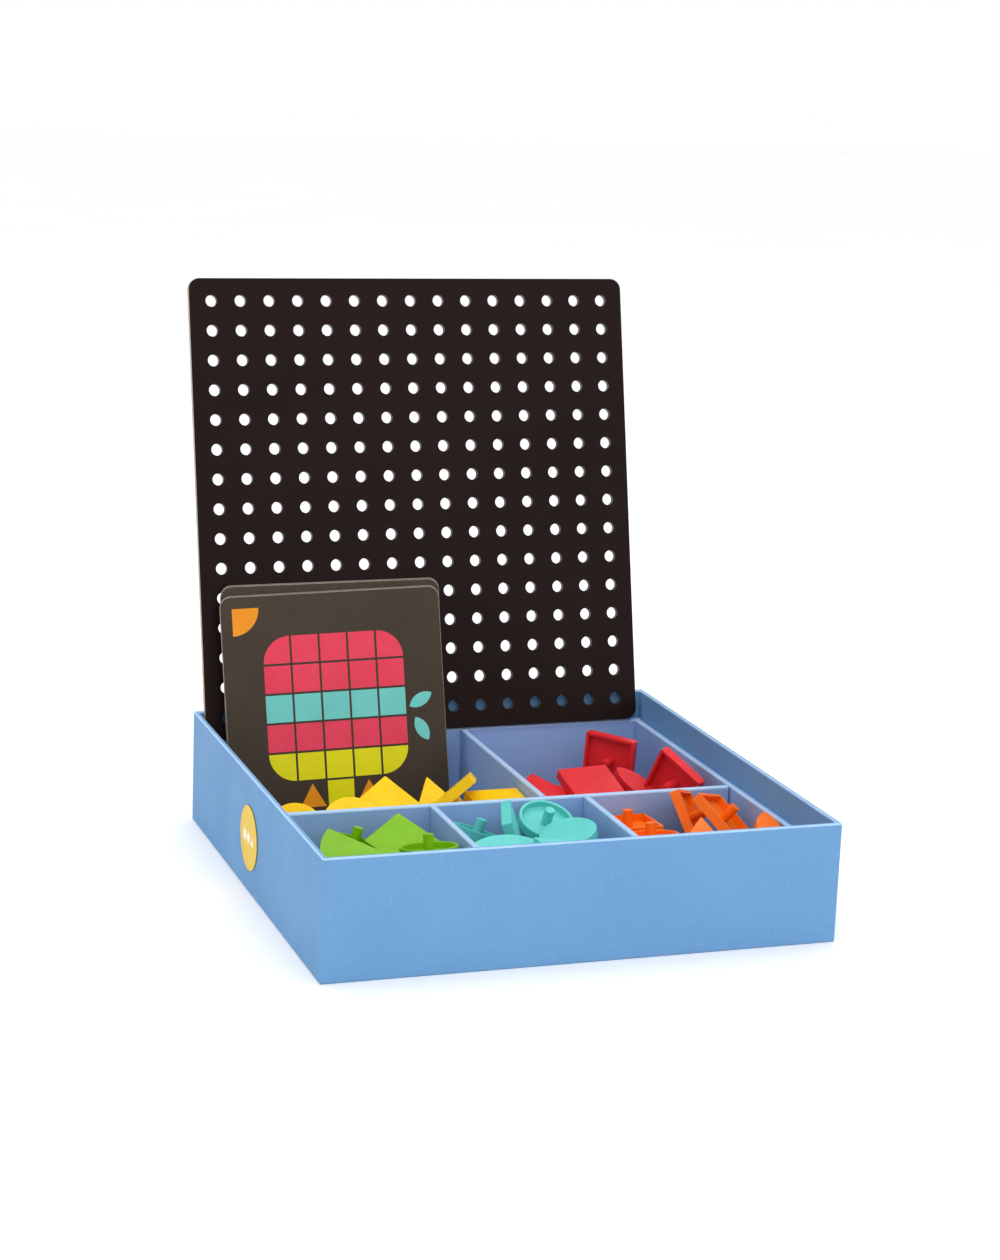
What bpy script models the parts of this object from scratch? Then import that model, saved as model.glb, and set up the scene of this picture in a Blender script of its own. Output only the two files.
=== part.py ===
"""Peg mosaic set: a tray box with five compartments, a leaning pegboard, pattern cards and plastic tiles.

The frame is in metres, +Z up. The origin is the centre of the box's underside, +X is to the right
and +Y is to the back, where the board leans on the back wall.
"""

import math
import random

import bmesh
import bpy
from mathutils import Euler, Matrix, Vector
from mathutils.bvhtree import BVHTree

MM = 0.001
GAP = 0.3 * MM  # left between touching pieces

# Box
BOX_SIDE = 260 * MM
BOX_HEIGHT = 60.5 * MM
BOX_WALL = 2.5 * MM
BASE_THICKNESS = 2.2 * MM
WALL_ROUNDING = 0.7 * MM
STICKER_RADIUS = 16.5 * MM
STICKER_THICKNESS = 0.3 * MM
STICKER_PLACE = (4 * MM, 28.5 * MM)

# Compartment insert
INSERT_TOP = 45 * MM
SIDE_RIM = 3.5 * MM
BACK_RIM = 4.8 * MM
DIVIDER = 3.0 * MM
CROSS_DIVIDER_Y = -10.5 * MM
LONG_DIVIDER_X = 21 * MM
SHORT_DIVIDERS_X = (-39.5 * MM, 43 * MM)
CROSS_SLOT = 1.2 * MM

# Pegboard
HOLES = 15
HOLE_PITCH = 16 * MM
HOLE_RADIUS = 3.2 * MM
HOLE_SIDES = 8
BOARD_MARGIN = 12.2 * MM
BOARD_SIDE = (HOLES - 1) * HOLE_PITCH + 2 * BOARD_MARGIN
BOARD_THICKNESS = 4 * MM
BOARD_CORNER = 6 * MM
BOARD_X = -0.9 * MM
BOARD_TILT = math.radians(13.5)

# Cards
CARD_COUNT = 6
CARD_SIDE = 123 * MM
CARD_THICKNESS = 1.2 * MM
CARD_PITCH = 1.5 * MM
CARD_CORNER = 6 * MM
CARD_X = -53 * MM
CARD_FOOT = BASE_THICKNESS + 0.9 * MM
RAISED_FOOT = CARD_FOOT + 4.6 * MM
RAISED_CARDS = 3

# Tiles
TILE_SIDE = 29 * MM
TILE_BODY = 5 * MM
TILE_WALL = 1.6 * MM
TILE_PLATE = 1.6 * MM
LEAF_WIDTH = 14 * MM
PEG_RADIUS = 2.6 * MM
PEG_SIDES = 8
PEG_REACH = 6 * MM
DROP_FROM = 78 * MM
DROP_STEP = 0.8 * MM
DROP_CLEARANCE = 0.35 * MM

COLOURS = {
    "blue_card": (0.18, 0.37, 0.62),
    "sticker": (0.68, 0.50, 0.02),
    "board": (0.018, 0.008, 0.006),
    "card": (0.072, 0.052, 0.036),
    "red": (0.72, 0.03, 0.03),
    "yellow": (0.98, 0.62, 0.0),
    "green": (0.22, 0.50, 0.01),
    "turquoise": (0.15, 0.55, 0.50),
    "orange": (0.91, 0.19, 0.01),
}
ROUGHNESS = {"blue_card": 0.6, "sticker": 0.35, "board": 0.4, "card": 0.4}

# Each compartment's clear floor, as its lowest and highest X and Y in millimetres
COMPARTMENTS = {
    "green": ((-123.4, -41.3), (-123.4, -12.3)),
    "turquoise": ((-37.7, 41.2), (-123.4, -12.3)),
    "orange": ((44.8, 123.4), (-123.4, -12.3)),
    "yellow": ((-123.4, 19.2), (-8.7, 96)),
    "red": ((22.8, 123.4), (-8.7, 122)),
}

# The heap of covered tiles in each compartment: its top's height in millimetres over the box's
# underside, in three rows from front to back, each from left to right
HEAPS = {
    "green": ((36, 38, 34), (30, 28, 12), (29, 27, 7)),
    "turquoise": ((33, 40, 42), (26, 17, 43), (36, 5, 12)),
    "orange": ((40, 38, 36), (31, 25, 32), (29, 13, 12)),
    "yellow": ((15, 20, 33), (11, 13, 20), (6, 6, 7)),
    "red": ((18, 20, 18), (12, 16, 15), (9, 12, 12)),
}
HEAP_SQUARES = 4  # each way
HEAP_ROUGHNESS = 1.6 * MM
HEAP_SEED = 7

# Tiles that lie on top of their heap: name, shape, x and y in millimetres, then in degrees the way
# the tile leans (0 is towards -Y), how far its face is from facing up, and its turn in its own plane
TOP_TILES = {
    "green": (
        ("green_leaf_left", "leaf", -86, -28, -90, 164, 5),
        ("green_square_tilted", "square", -64, -44, 8, 28, 33),
        ("green_quarter_front", "quarter", -101, -68, -10, 24, 200),
        ("green_disc_upturned", "disc", -58, -65, 10, 170, 0),
        ("green_leaf_front", "leaf", -84, -90, -40, 24, 60),
    ),
    "turquoise": (
        ("turquoise_square_on_edge", "square", -5, -45, 70, 72, 6),
        ("turquoise_disc_upturned", "disc", 15, -28, 190, 155, 0),
        ("turquoise_disc_face_up", "disc", 17, -55, -70, 16, 0),
        ("turquoise_leaf_left", "leaf", -20, -21, -90, 160, 6),
        ("turquoise_quarter_front", "quarter", -24, -79, 0, 26, 100),
        ("turquoise_triangle_front", "triangle", 4, -87, 25, 12, 30),
    ),
    "orange": (
        ("orange_square_upturned", "square", 60, -28, 10, 176, 12),
        ("orange_disc_upturned", "disc", 61, -58, 10, 170, 0),
        ("orange_square_leaning", "square", 91, -30, -118, 118, 20),
        ("orange_square_hollow_up", "square", 108, -46, -118, 140, 25),
        ("orange_triangle_low", "triangle", 75, -89, -30, 30, 10),
        ("orange_leaf_front", "leaf", 114, -83, 20, 24, -30),
    ),
    "yellow": (
        ("yellow_square_flat", "square", 5, 12, 0, 4, 0),
        ("yellow_disc_left", "disc", -104, 9, 0, 52, 0),
        ("yellow_disc_middle", "disc", -75, 10, -10, 36, 0),
        ("yellow_leaf_left", "leaf", -91, 40, 30, 60, 80),
        ("yellow_square_tilted", "square", -49, 29, 10, 36, 32),
        ("yellow_triangle_peak", "triangle", -16, 54, 5, 34, 0),
        ("yellow_square_on_edge", "square", -21.5, 18, -124, 44, 19),
    ),
    "red": (
        ("red_square_left", "square", 42, 52, 30, 20, 18),
        ("red_triangle_left", "triangle", 38, 14, 12, 28, 40),
        ("red_square_upright", "square", 98, 92, 135, 88, 4),
        ("red_square_tilted", "square", 73, 56, 3, 18, 2),
        ("red_quarter_upturned", "quarter", 78, 16, 10, 165, 120),
        ("red_square_leaning", "square", 108, 22, 118, 80, 30),
        ("red_leaf_middle", "leaf", 100, 58, 20, 30, 20),
    ),
}


def clear_scene() -> None:
    """Remove whatever the scene holds."""
    for item in list(bpy.data.objects):
        bpy.data.objects.remove(item, do_unlink=True)


def material(slot: str) -> bpy.types.Material:
    """Return the named finish, made on first use."""
    if slot in bpy.data.materials:
        return bpy.data.materials[slot]
    finish = bpy.data.materials.new(slot)
    finish.use_nodes = True
    shader = finish.node_tree.nodes["Principled BSDF"]
    shader.inputs["Base Color"].default_value = (*COLOURS[slot], 1.0)
    shader.inputs["Roughness"].default_value = ROUGHNESS.get(slot, 0.3)
    shader.inputs["Metallic"].default_value = 0.0
    return finish


def add_object(name: str, shape: bmesh.types.BMesh, slot: str, place: Matrix = None) -> bpy.types.Object:
    """Turn a bmesh into a named object, with flat faces and the given finish."""
    bmesh.ops.recalc_face_normals(shape, faces=shape.faces)
    mesh = bpy.data.meshes.new(name)
    shape.to_mesh(mesh)
    shape.free()
    mesh.materials.append(material(slot))
    made = bpy.data.objects.new(name, mesh)
    if place is not None:
        made.matrix_world = place
    bpy.context.scene.collection.objects.link(made)
    return made


def block(low: tuple, high: tuple, rounding: float = 0.0) -> bmesh.types.BMesh:
    """Return a box between two corners, with the long edges of its top rounded."""
    shape = bmesh.new()
    bmesh.ops.create_cube(shape, size=1.0)
    size = Vector(high) - Vector(low)
    bmesh.ops.scale(shape, vec=size, verts=shape.verts)
    bmesh.ops.translate(shape, vec=(Vector(low) + Vector(high)) / 2, verts=shape.verts)
    if rounding:
        along = 0 if size.x > size.y else 1
        rim = [
            edge
            for edge in shape.edges
            if all(corner.co.z > high[2] - GAP for corner in edge.verts)
            and abs(edge.verts[0].co[along] - edge.verts[1].co[along]) > GAP
        ]
        bmesh.ops.bevel(
            shape, geom=rim, offset=rounding, segments=2, profile=0.5, affect="EDGES", material=-1
        )
    return shape


def build_box() -> None:
    """Make the base board, the four wrapped walls and the round sticker."""
    half = BOX_SIDE / 2
    inner = half - BOX_WALL
    floor = inner - GAP
    add_object("box_base", block((-floor, -floor, 0), (floor, floor, BASE_THICKNESS)), "blue_card")
    for name, low, high in (
        ("box_front_wall", -half, -inner),
        ("box_back_wall", inner, half),
    ):
        wall = block((-half, low, 0), (half, high, BOX_HEIGHT), WALL_ROUNDING)
        add_object(name, wall, "blue_card")
    for name, low, high in (
        ("box_left_wall", -half, -inner),
        ("box_right_wall", inner, half),
    ):
        wall = block((low, -floor, 0), (high, floor, BOX_HEIGHT), WALL_ROUNDING)
        add_object(name, wall, "blue_card")
    sticker = bmesh.new()
    bmesh.ops.create_cone(
        sticker,
        cap_ends=True,
        segments=24,
        radius1=STICKER_RADIUS,
        radius2=STICKER_RADIUS,
        depth=STICKER_THICKNESS,
    )
    outside = -half - GAP - STICKER_THICKNESS / 2
    place = Matrix.Translation((outside, *STICKER_PLACE)) @ Euler((0, math.pi / 2, 0)).to_matrix().to_4x4()
    add_object("side_sticker", sticker, "sticker", place)


def build_insert() -> None:
    """Make the insert's four rims and its dividers, each a folded strip with a rounded top."""
    wall = BOX_SIDE / 2 - BOX_WALL - GAP
    foot = BASE_THICKNESS + GAP
    side = wall - SIDE_RIM
    back = wall - BACK_RIM
    front = -wall + SIDE_RIM
    rounding = 1.2 * MM
    half = DIVIDER / 2
    cross_front = CROSS_DIVIDER_Y - half
    cross_back = CROSS_DIVIDER_Y + half
    strips = {
        "insert_left_rim": ((-wall, front + GAP), (-side, back - GAP)),
        "insert_right_rim": ((side, front + GAP), (wall, back - GAP)),
        "insert_front_rim": ((-wall, -wall), (wall, front)),
        "insert_back_rim": ((-wall, back), (wall, wall)),
        "cross_divider": ((-side + GAP, cross_front), (side - CROSS_SLOT, cross_back)),
        "long_divider": ((LONG_DIVIDER_X - half, cross_back + GAP), (LONG_DIVIDER_X + half, back - GAP)),
    }
    for side_name, middle in zip(("left", "right"), SHORT_DIVIDERS_X):
        strips[f"short_divider_{side_name}"] = (
            (middle - half, front + GAP),
            (middle + half, cross_front - GAP),
        )
    for name, (low, high) in strips.items():
        strip = block((*low, foot), (*high, INSERT_TOP), rounding)
        add_object(name, strip, "blue_card")


def rounded_square(side: float, corner: float, steps: int) -> list:
    """Return the points of a square with round corners, its lower edge's middle at the origin."""
    points = []
    for turn, (x, y) in enumerate(((1, 0), (1, 1), (-1, 1), (-1, 0))):
        centre = Vector((x * (side / 2 - corner), corner if y == 0 else side - corner))
        for step in range(steps + 1):
            angle = math.radians(-90 + 90 * turn + 90 * step / steps)
            points.append(centre + corner * Vector((math.cos(angle), math.sin(angle))))
    return points


def ring_of(shape: bmesh.types.BMesh, points: list, height: float) -> list:
    """Add a closed loop of edges through the points at one height."""
    corners = [shape.verts.new((*point, height)) for point in points]
    return [shape.edges.new((a, b)) for a, b in zip(corners, corners[1:] + corners[:1])]


def join_rings(shape: bmesh.types.BMesh, first: list, second: list) -> None:
    """Join two rings of equally many edges, in the order of their points, by four-sided faces."""
    for index, edge in enumerate(first):
        a, b = edge.verts[0], first[(index + 1) % len(first)].verts[0]
        c, d = second[(index + 1) % len(first)].verts[0], second[index].verts[0]
        shape.faces.new((a, b, c, d))


def plate_with_holes(outline: list, holes: list, thickness: float) -> bmesh.types.BMesh:
    """Return a plate from z = 0 to the thickness, with the holes right through it."""
    shape = bmesh.new()
    loops = ring_of(shape, outline, 0.0)
    for hole in holes:
        loops += ring_of(shape, hole, 0.0)
    bmesh.ops.triangle_fill(shape, use_beauty=False, edges=loops, normal=(0, 0, -1))
    lower = list(shape.faces)
    grown = bmesh.ops.extrude_face_region(shape, geom=lower, use_keep_orig=True)
    raised = [item for item in grown["geom"] if isinstance(item, bmesh.types.BMVert)]
    bmesh.ops.translate(shape, vec=(0, 0, thickness), verts=raised)
    return shape


def leaning(x: float, y: float, z: float, roll: float = 0.0) -> Matrix:
    """Return the place of a plate whose own Y runs up the board's slope and whose own Z faces back."""
    stand = Euler((math.pi / 2 - BOARD_TILT, 0, 0)).to_matrix().to_4x4()
    flip = Euler((0, math.pi, 0)).to_matrix().to_4x4()
    return Matrix.Translation((x, y, z)) @ stand @ Euler((0, 0, roll)).to_matrix().to_4x4() @ flip


def board_foot() -> tuple:
    """Return the Y and Z of the board's lower front edge: it stands on the back rim and leans on the wall."""
    back_foot_z = INSERT_TOP + GAP
    rest_y = BOX_SIDE / 2 - BOX_WALL - GAP
    back_foot_y = rest_y - (BOX_HEIGHT - back_foot_z) * math.tan(BOARD_TILT)
    return (
        back_foot_y - BOARD_THICKNESS * math.cos(BOARD_TILT),
        back_foot_z + BOARD_THICKNESS * math.sin(BOARD_TILT),
    )


def build_board() -> None:
    """Make the pegboard with its square grid of holes."""
    outline = rounded_square(BOARD_SIDE, BOARD_CORNER, 3)
    first = -(HOLES - 1) * HOLE_PITCH / 2
    holes = []
    for column in range(HOLES):
        for row in range(HOLES):
            centre = Vector((first + column * HOLE_PITCH, BOARD_MARGIN + row * HOLE_PITCH))
            angles = [math.tau * (side + 0.5) / HOLE_SIDES for side in range(HOLE_SIDES)]
            holes.append([centre + HOLE_RADIUS * Vector((math.cos(a), math.sin(a))) for a in angles])
    foot_y, foot_z = board_foot()
    board = plate_with_holes(outline, holes, BOARD_THICKNESS)
    add_object("pegboard", board, "board", leaning(BOARD_X, foot_y, foot_z))


def build_cards() -> None:
    """Make the stack of pattern cards that leans against the board, the front half standing lower."""
    foot_y, foot_z = board_foot()
    for number in range(CARD_COUNT):
        in_front = GAP + CARD_THICKNESS + (CARD_COUNT - 1 - number) * CARD_PITCH
        raised = number >= CARD_COUNT - RAISED_CARDS
        foot = RAISED_FOOT if raised else CARD_FOOT
        roll = math.radians(0.3 if raised else 1.1)
        slip = (-0.4 + 0.5 * (number % 3)) * MM
        z = foot + abs(math.sin(roll)) * CARD_SIDE / 2
        y = foot_y + (z - foot_z) * math.tan(BOARD_TILT) - in_front / math.cos(BOARD_TILT)
        outline = rounded_square(CARD_SIDE, CARD_CORNER, 4)
        card = plate_with_holes(outline, [], CARD_THICKNESS)
        add_object(f"pattern_card_{number + 1}", card, "card", leaning(CARD_X + slip, y, z, roll))


def arc(centre: tuple, radius: float, start: float, end: float, steps: int) -> list:
    """Return points along an arc, with both ends, for angles in degrees."""
    points = []
    for step in range(steps + 1):
        angle = math.radians(start + (end - start) * step / steps)
        points.append(Vector(centre) + radius * Vector((math.cos(angle), math.sin(angle))))
    return points


def tile_outline(shape: str, grow: float) -> list:
    """Return a tile's outline round its peg, moved out by grow."""
    half = TILE_SIDE / 2
    if shape == "disc":
        return arc((0, 0), half + grow, 0, 360 * 19 / 20, 19)
    if shape == "quarter":
        corner = -TILE_SIDE * 0.42
        curve = arc((corner, corner), TILE_SIDE + grow, 0, 90, 7)
        curve[0].y -= grow
        curve[-1].x -= grow
        return [Vector((corner - grow, corner - grow)), *curve]
    if shape == "leaf":
        radius = (half**2 + (LEAF_WIDTH / 2) ** 2) / LEAF_WIDTH
        sweep = math.degrees(math.asin(half / radius))
        middle = radius - LEAF_WIDTH / 2
        right = arc((-middle, 0), radius + grow, -sweep, sweep, 6)
        left = arc((middle, 0), radius + grow, 180 - sweep, 180 + sweep, 6)
        return right[1:-1] + [Vector((0, half + 2 * grow))] + left[1:-1] + [Vector((0, -half - 2 * grow))]
    if shape == "triangle":
        reach = TILE_SIDE / math.sqrt(3) + 2 * grow
        return arc((0, 0), reach, 90, 330, 2)
    return arc((0, 0), math.sqrt(2) * (half + grow), 45, 315, 3)


def inner_outline(shape: str, grow: float) -> list:
    """Return the outline of a tile's hollow back: the tile's outline moved in by the wall."""
    outline = tile_outline(shape, grow)
    wall = TILE_WALL + 2 * grow
    count = len(outline)
    inner = []
    for index, point in enumerate(outline):
        before = (point - outline[index - 1]).normalized()
        after = (outline[(index + 1) % count] - point).normalized()
        normal = Vector((-before.y - after.y, before.x + after.x)).normalized()
        lean = normal.dot(Vector((-before.y, before.x)))
        inner.append(point + normal * wall / max(lean, 0.35))
    return inner


def tile_shape(shape: str, grow: float = 0.0) -> bmesh.types.BMesh:
    """Return a hollow-backed tile with its peg: the face is up at z = 0 and the peg points down."""
    made = bmesh.new()
    top = ring_of(made, tile_outline(shape, grow), grow)
    rim = ring_of(made, tile_outline(shape, grow), -TILE_BODY - grow)
    mouth = ring_of(made, inner_outline(shape, grow), -TILE_BODY - grow)
    ceiling = ring_of(made, inner_outline(shape, grow), -TILE_PLATE - grow)
    turns = [math.tau * (side + 0.5) / PEG_SIDES for side in range(PEG_SIDES)]
    circle = [(PEG_RADIUS + grow) * Vector((math.cos(a), math.sin(a))) for a in turns]
    root = ring_of(made, circle, -TILE_PLATE - grow)
    tip = ring_of(made, circle, -TILE_BODY - PEG_REACH - grow)
    made.faces.new([edge.verts[0] for edge in top])
    made.faces.new([edge.verts[0] for edge in tip])
    for first, second in ((top, rim), (rim, mouth), (mouth, ceiling), (root, tip)):
        join_rings(made, first, second)
    bmesh.ops.triangle_fill(made, use_beauty=False, edges=ceiling + root, normal=(0, 0, -1))
    bmesh.ops.recalc_face_normals(made, faces=made.faces)
    made.verts.index_update()
    return made


def tile_place(x: float, y: float, turn: float, tilt: float, spin: float) -> Matrix:
    """Return a tile's place at the drop height, from millimetres and degrees."""
    lean = Euler((0, 0, math.radians(turn))).to_matrix() @ Euler((math.radians(tilt), 0, 0)).to_matrix()
    whole = lean @ Euler((0, 0, math.radians(spin))).to_matrix()
    return Matrix.Translation((x * MM, y * MM, DROP_FROM)) @ whole.to_4x4()


class Heap:
    """The solids that a compartment's tiles can come to rest on."""

    def __init__(self, names: list, room: tuple) -> None:
        """Start with the named objects, in the room that the compartment's walls leave."""
        self.points = []
        self.faces = []
        self.room = room
        for name in names:
            settled = bpy.data.objects[name]
            self.add(settled.data, settled.matrix_world)

    def add(self, mesh: bpy.types.Mesh, place: Matrix) -> None:
        """Add a mesh at its place."""
        start = len(self.points)
        self.points += [place @ corner.co for corner in mesh.vertices]
        self.faces += [[start + index for index in face.vertices] for face in mesh.polygons]

    def settle(self, shape: str, place: Matrix) -> Matrix:
        """Move a tile inside the walls, lower it until its clearance touches something, return its place."""
        ground = BVHTree.FromPolygons(self.points, self.faces)
        grown = tile_shape(shape, DROP_CLEARANCE)
        points = [place @ corner.co for corner in grown.verts]
        shift = Vector((0, 0, 0))
        for axis, (low, high) in enumerate(self.room):
            reach = [point[axis] for point in points]
            shift[axis] = max(low * MM - min(reach), 0) + min(high * MM - max(reach), 0)
        place = Matrix.Translation(shift) @ place
        points = [point + shift for point in points]
        faces = [[corner.index for corner in face.verts] for face in grown.faces]
        grown.free()

        def touches(drop: float) -> bool:
            lowered = [point - Vector((0, 0, drop)) for point in points]
            return bool(BVHTree.FromPolygons(lowered, faces).overlap(ground))

        drop = 0.0
        while not touches(drop + DROP_STEP):
            drop += DROP_STEP
        step = DROP_STEP
        for _ in range(5):
            step /= 2
            if not touches(drop + step):
                drop += step
        return Matrix.Translation((0, 0, -drop)) @ place


def heap_height(rows: tuple, across: float, along: float) -> float:
    """Return a heap's height at a place from 0 to 1 across and along it, between its rows' heights."""
    row, column = min(int(along * 2), 1), min(int(across * 2), 1)
    up, right = along * 2 - row, across * 2 - column
    front, back = (
        line[column] * (1 - right) + line[column + 1] * right for line in rows[row : row + 2]
    )
    return front * (1 - up) + back * up


def build_heaps() -> None:
    """Make the covered tiles of each compartment as one closed solid with an uneven top."""
    chance = random.Random(HEAP_SEED)
    foot = BASE_THICKNESS + GAP
    for colour, ((low_x, high_x), (low_y, high_y)) in COMPARTMENTS.items():
        size = Vector((high_x - low_x, high_y - low_y, 0)) * MM
        middle = Vector((high_x + low_x, high_y + low_y, 0)) * MM / 2
        heap = bmesh.new()
        bmesh.ops.create_grid(heap, x_segments=HEAP_SQUARES, y_segments=HEAP_SQUARES, size=0.5)
        for corner in heap.verts:
            top = heap_height(HEAPS[colour], corner.co.x + 0.5, corner.co.y + 0.5) * MM
            corner.co = middle + Vector((corner.co.x * size.x, corner.co.y * size.y, 0))
            corner.co.z = top + chance.uniform(-HEAP_ROUGHNESS, HEAP_ROUGHNESS)
        grown = bmesh.ops.extrude_face_region(heap, geom=list(heap.faces), use_keep_orig=True)
        for item in grown["geom"]:
            if isinstance(item, bmesh.types.BMVert):
                item.co.z = foot
        add_object(f"{colour}_tile_heap", heap, colour)


def build_tiles() -> None:
    """Lay the tiles that show on their heaps, each lowered onto those before it."""
    walls = ["box_base", "insert_left_rim", "insert_right_rim", "insert_front_rim", "insert_back_rim"]
    walls += ["cross_divider", "long_divider", "short_divider_left", "short_divider_right"]
    walls += [f"pattern_card_{number + 1}" for number in range(CARD_COUNT)]
    meshes = {}
    for shape in ("square", "disc", "quarter", "leaf", "triangle"):
        template = tile_shape(shape)
        meshes[shape] = bpy.data.meshes.new(f"{shape}_tile")
        template.to_mesh(meshes[shape])
        template.free()
    for colour in COMPARTMENTS:
        heap = Heap([*walls, f"{colour}_tile_heap"], COMPARTMENTS[colour])
        for name, shape, *where in TOP_TILES[colour]:
            settled = heap.settle(shape, tile_place(*where))
            heap.add(meshes[shape], settled)
            tile = bmesh.new()
            tile.from_mesh(meshes[shape])
            add_object(name, tile, colour, settled)


def main() -> None:
    """Build the whole set."""
    clear_scene()
    build_box()
    build_insert()
    build_board()
    build_cards()
    build_heaps()
    bpy.context.view_layer.update()
    build_tiles()


main()
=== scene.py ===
"""Looks of a peg mosaic set: tray box, divided insert, pegboard, pattern cards and heaps of plastic tiles.

Lengths are in metres unless a name ends in _mm. The frame's origin is the centre of the box's
underside, with +X to the right, +Y to the back and +Z up.
"""

import logging
import math
import random
from dataclasses import dataclass, field
from enum import Enum
from functools import lru_cache
from typing import Any, Iterable, Optional, Sequence

import bmesh
import bpy
from bmesh.types import BMEdge, BMesh, BMFace, BMVert
from bpy.types import NodeSocket, NodeTree
from mathutils import Matrix, Vector
from mathutils.bvhtree import BVHTree


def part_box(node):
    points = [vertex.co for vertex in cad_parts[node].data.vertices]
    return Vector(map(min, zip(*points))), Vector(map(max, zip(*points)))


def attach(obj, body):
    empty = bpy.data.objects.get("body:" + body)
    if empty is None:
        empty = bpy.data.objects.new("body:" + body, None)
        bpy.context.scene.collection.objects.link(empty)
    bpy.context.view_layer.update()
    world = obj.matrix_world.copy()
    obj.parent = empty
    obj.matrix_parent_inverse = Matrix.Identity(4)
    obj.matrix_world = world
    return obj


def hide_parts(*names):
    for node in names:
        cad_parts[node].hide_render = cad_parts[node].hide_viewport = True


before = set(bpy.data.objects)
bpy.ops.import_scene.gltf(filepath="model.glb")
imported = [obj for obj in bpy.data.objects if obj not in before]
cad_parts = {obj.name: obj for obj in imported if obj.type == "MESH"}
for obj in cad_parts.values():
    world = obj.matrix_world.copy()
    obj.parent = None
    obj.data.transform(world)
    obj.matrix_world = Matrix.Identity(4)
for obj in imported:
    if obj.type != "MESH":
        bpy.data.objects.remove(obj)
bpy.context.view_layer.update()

LOG = logging.getLogger("peg_mosaic")
MM = 0.001

# Edges that turn by more than this are rounded off.
EDGE_DEG = 60.0
# Two points closer than this are one point.
WELD = 0.01 * MM
# Points of a CAD solid within this distance of a plane lie on it.
ON_PLANE = 0.1 * MM
# Parts of a noise's range: what the roughness follows, what the colours follow, and the fibres' peaks.
ROUGHNESS_RANGE = (0.35, 0.65)
COLOUR_RANGE = (0.35, 0.68)
FIBRE_RANGE = (0.62, 0.78)
# How many finer layers the clouds' and the grain's noises have, and how strong those layers are.
CLOUD_DETAIL, GRAIN_DETAIL, DETAIL_STRENGTH = 3.0, 2.0, 0.55


# ---------------------------------------------------------------- named options


class Shape(Enum):
    """The outlines that tiles and printed cells come in."""

    SQUARE = "square"
    DISC = "disc"
    QUARTER = "quarter"
    LEAF = "leaf"
    TRIANGLE = "triangle"


@dataclass(frozen=True)
class Making:
    """How finely a tile is made.

    Args:
        segments: How many straight pieces a full circle has.
        corner: Radius of the outline's corners.
        corner_segments: How many straight pieces a corner has.
        peg_segments: Straight pieces round the peg.
        sharp_deg: Edges that turn by more than this are eased.
        easing: Width of an eased edge.
        easing_segments: How many faces lie across an eased edge.
    """

    segments: int
    corner: float
    corner_segments: int
    peg_segments: int
    sharp_deg: float
    easing: float
    easing_segments: int


class Detail(Enum):
    """The two ways to make a tile: fine where it lies on top, coarse where others cover it."""

    SHOWN = Making(56, 0.9 * MM, 3, 24, 40.0, 0.42 * MM, 3)
    COVERED = Making(20, 0.7 * MM, 1, 10, EDGE_DEG, 0.4 * MM, 1)


class Picture(Enum):
    """The mosaic pictures printed on the cards, one row of cells after another from the top.

    A cell is a shape letter and a colour letter. Shapes: s square, d disc, t triangle, l and r
    leaves that lean left and right, and 1 to 4 quarter circles that round off the upper right,
    upper left, lower left and lower right. Colours: R red, Y yellow, O orange, T teal.
    """

    BALLOON = (
        "4O .. .. .. .. .. ..",
        ".. 2R sR sR sR 1R ..",
        ".. sR sR sR sR sR ..",
        ".. sT sT sT sT sT rT",
        ".. sR sR sR sR sR lT",
        ".. 3Y sY sY sY 4Y ..",
        ".. .. tO sY tO .. ..",
    )
    BOAT = (
        ".. .. .. .. .. .. dY",
        ".. .. .. 2T 1O .. ..",
        ".. .. 2T sT sO 1O ..",
        ".. 2T sT sT sO sO ..",
        ".. .. .. .. sR .. ..",
        "3R sR sR sY sR sR 4R",
        "2T 1T 2T 1T 2T 1T ..",
    )
    HOUSE = (
        ".. .. .. tO .. .. ..",
        ".. .. 2O sO 1O .. ..",
        ".. 2O sO sO sO 1O ..",
        ".. sR sR sR sR sR ..",
        ".. sR dY sR dY sR ..",
        ".. sR sR sT sR sR ..",
        "lT sR sR sT sR sR rT",
    )
    TREE = (
        ".. .. 2T sT 1T .. ..",
        ".. 2T dR sT sT 1T ..",
        ".. sT sT sT dR sT ..",
        ".. 3T sT dR sT 4T ..",
        ".. .. 3T sO 4T .. ..",
        ".. .. .. sO .. .. ..",
        "lY rY .. sO .. lY rY",
    )
    FLOWER = (
        ".. .. 2R .. 1R .. ..",
        ".. 2R sR sR sR 1R ..",
        ".. .. sR dY sR .. ..",
        ".. 3R sR sR sR 4R ..",
        ".. .. 3R sT 4R .. ..",
        ".. rT .. sT .. lT ..",
        ".. .. 2O sO 1O .. ..",
    )
    ROCKET = (
        ".. .. .. tR .. .. ..",
        ".. .. 2R sR 1R .. ..",
        ".. .. sY dT sY .. ..",
        ".. .. sY sY sY .. ..",
        ".. 2R sY sY sY 1R ..",
        ".. sR .. sO .. sR ..",
        ".. .. .. tO .. .. ..",
    )


# What a cell's first letter says: its outline, a quarter circle for a digit, and its turn.
CELL_SHAPES = {"s": Shape.SQUARE, "d": Shape.DISC, "t": Shape.TRIANGLE, "l": Shape.LEAF, "r": Shape.LEAF}
CELL_TURNS_DEG = {"l": 28, "r": -62, "2": 90, "3": 180, "4": 270}


# ---------------------------------------------------------------- node and colour helpers


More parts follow.
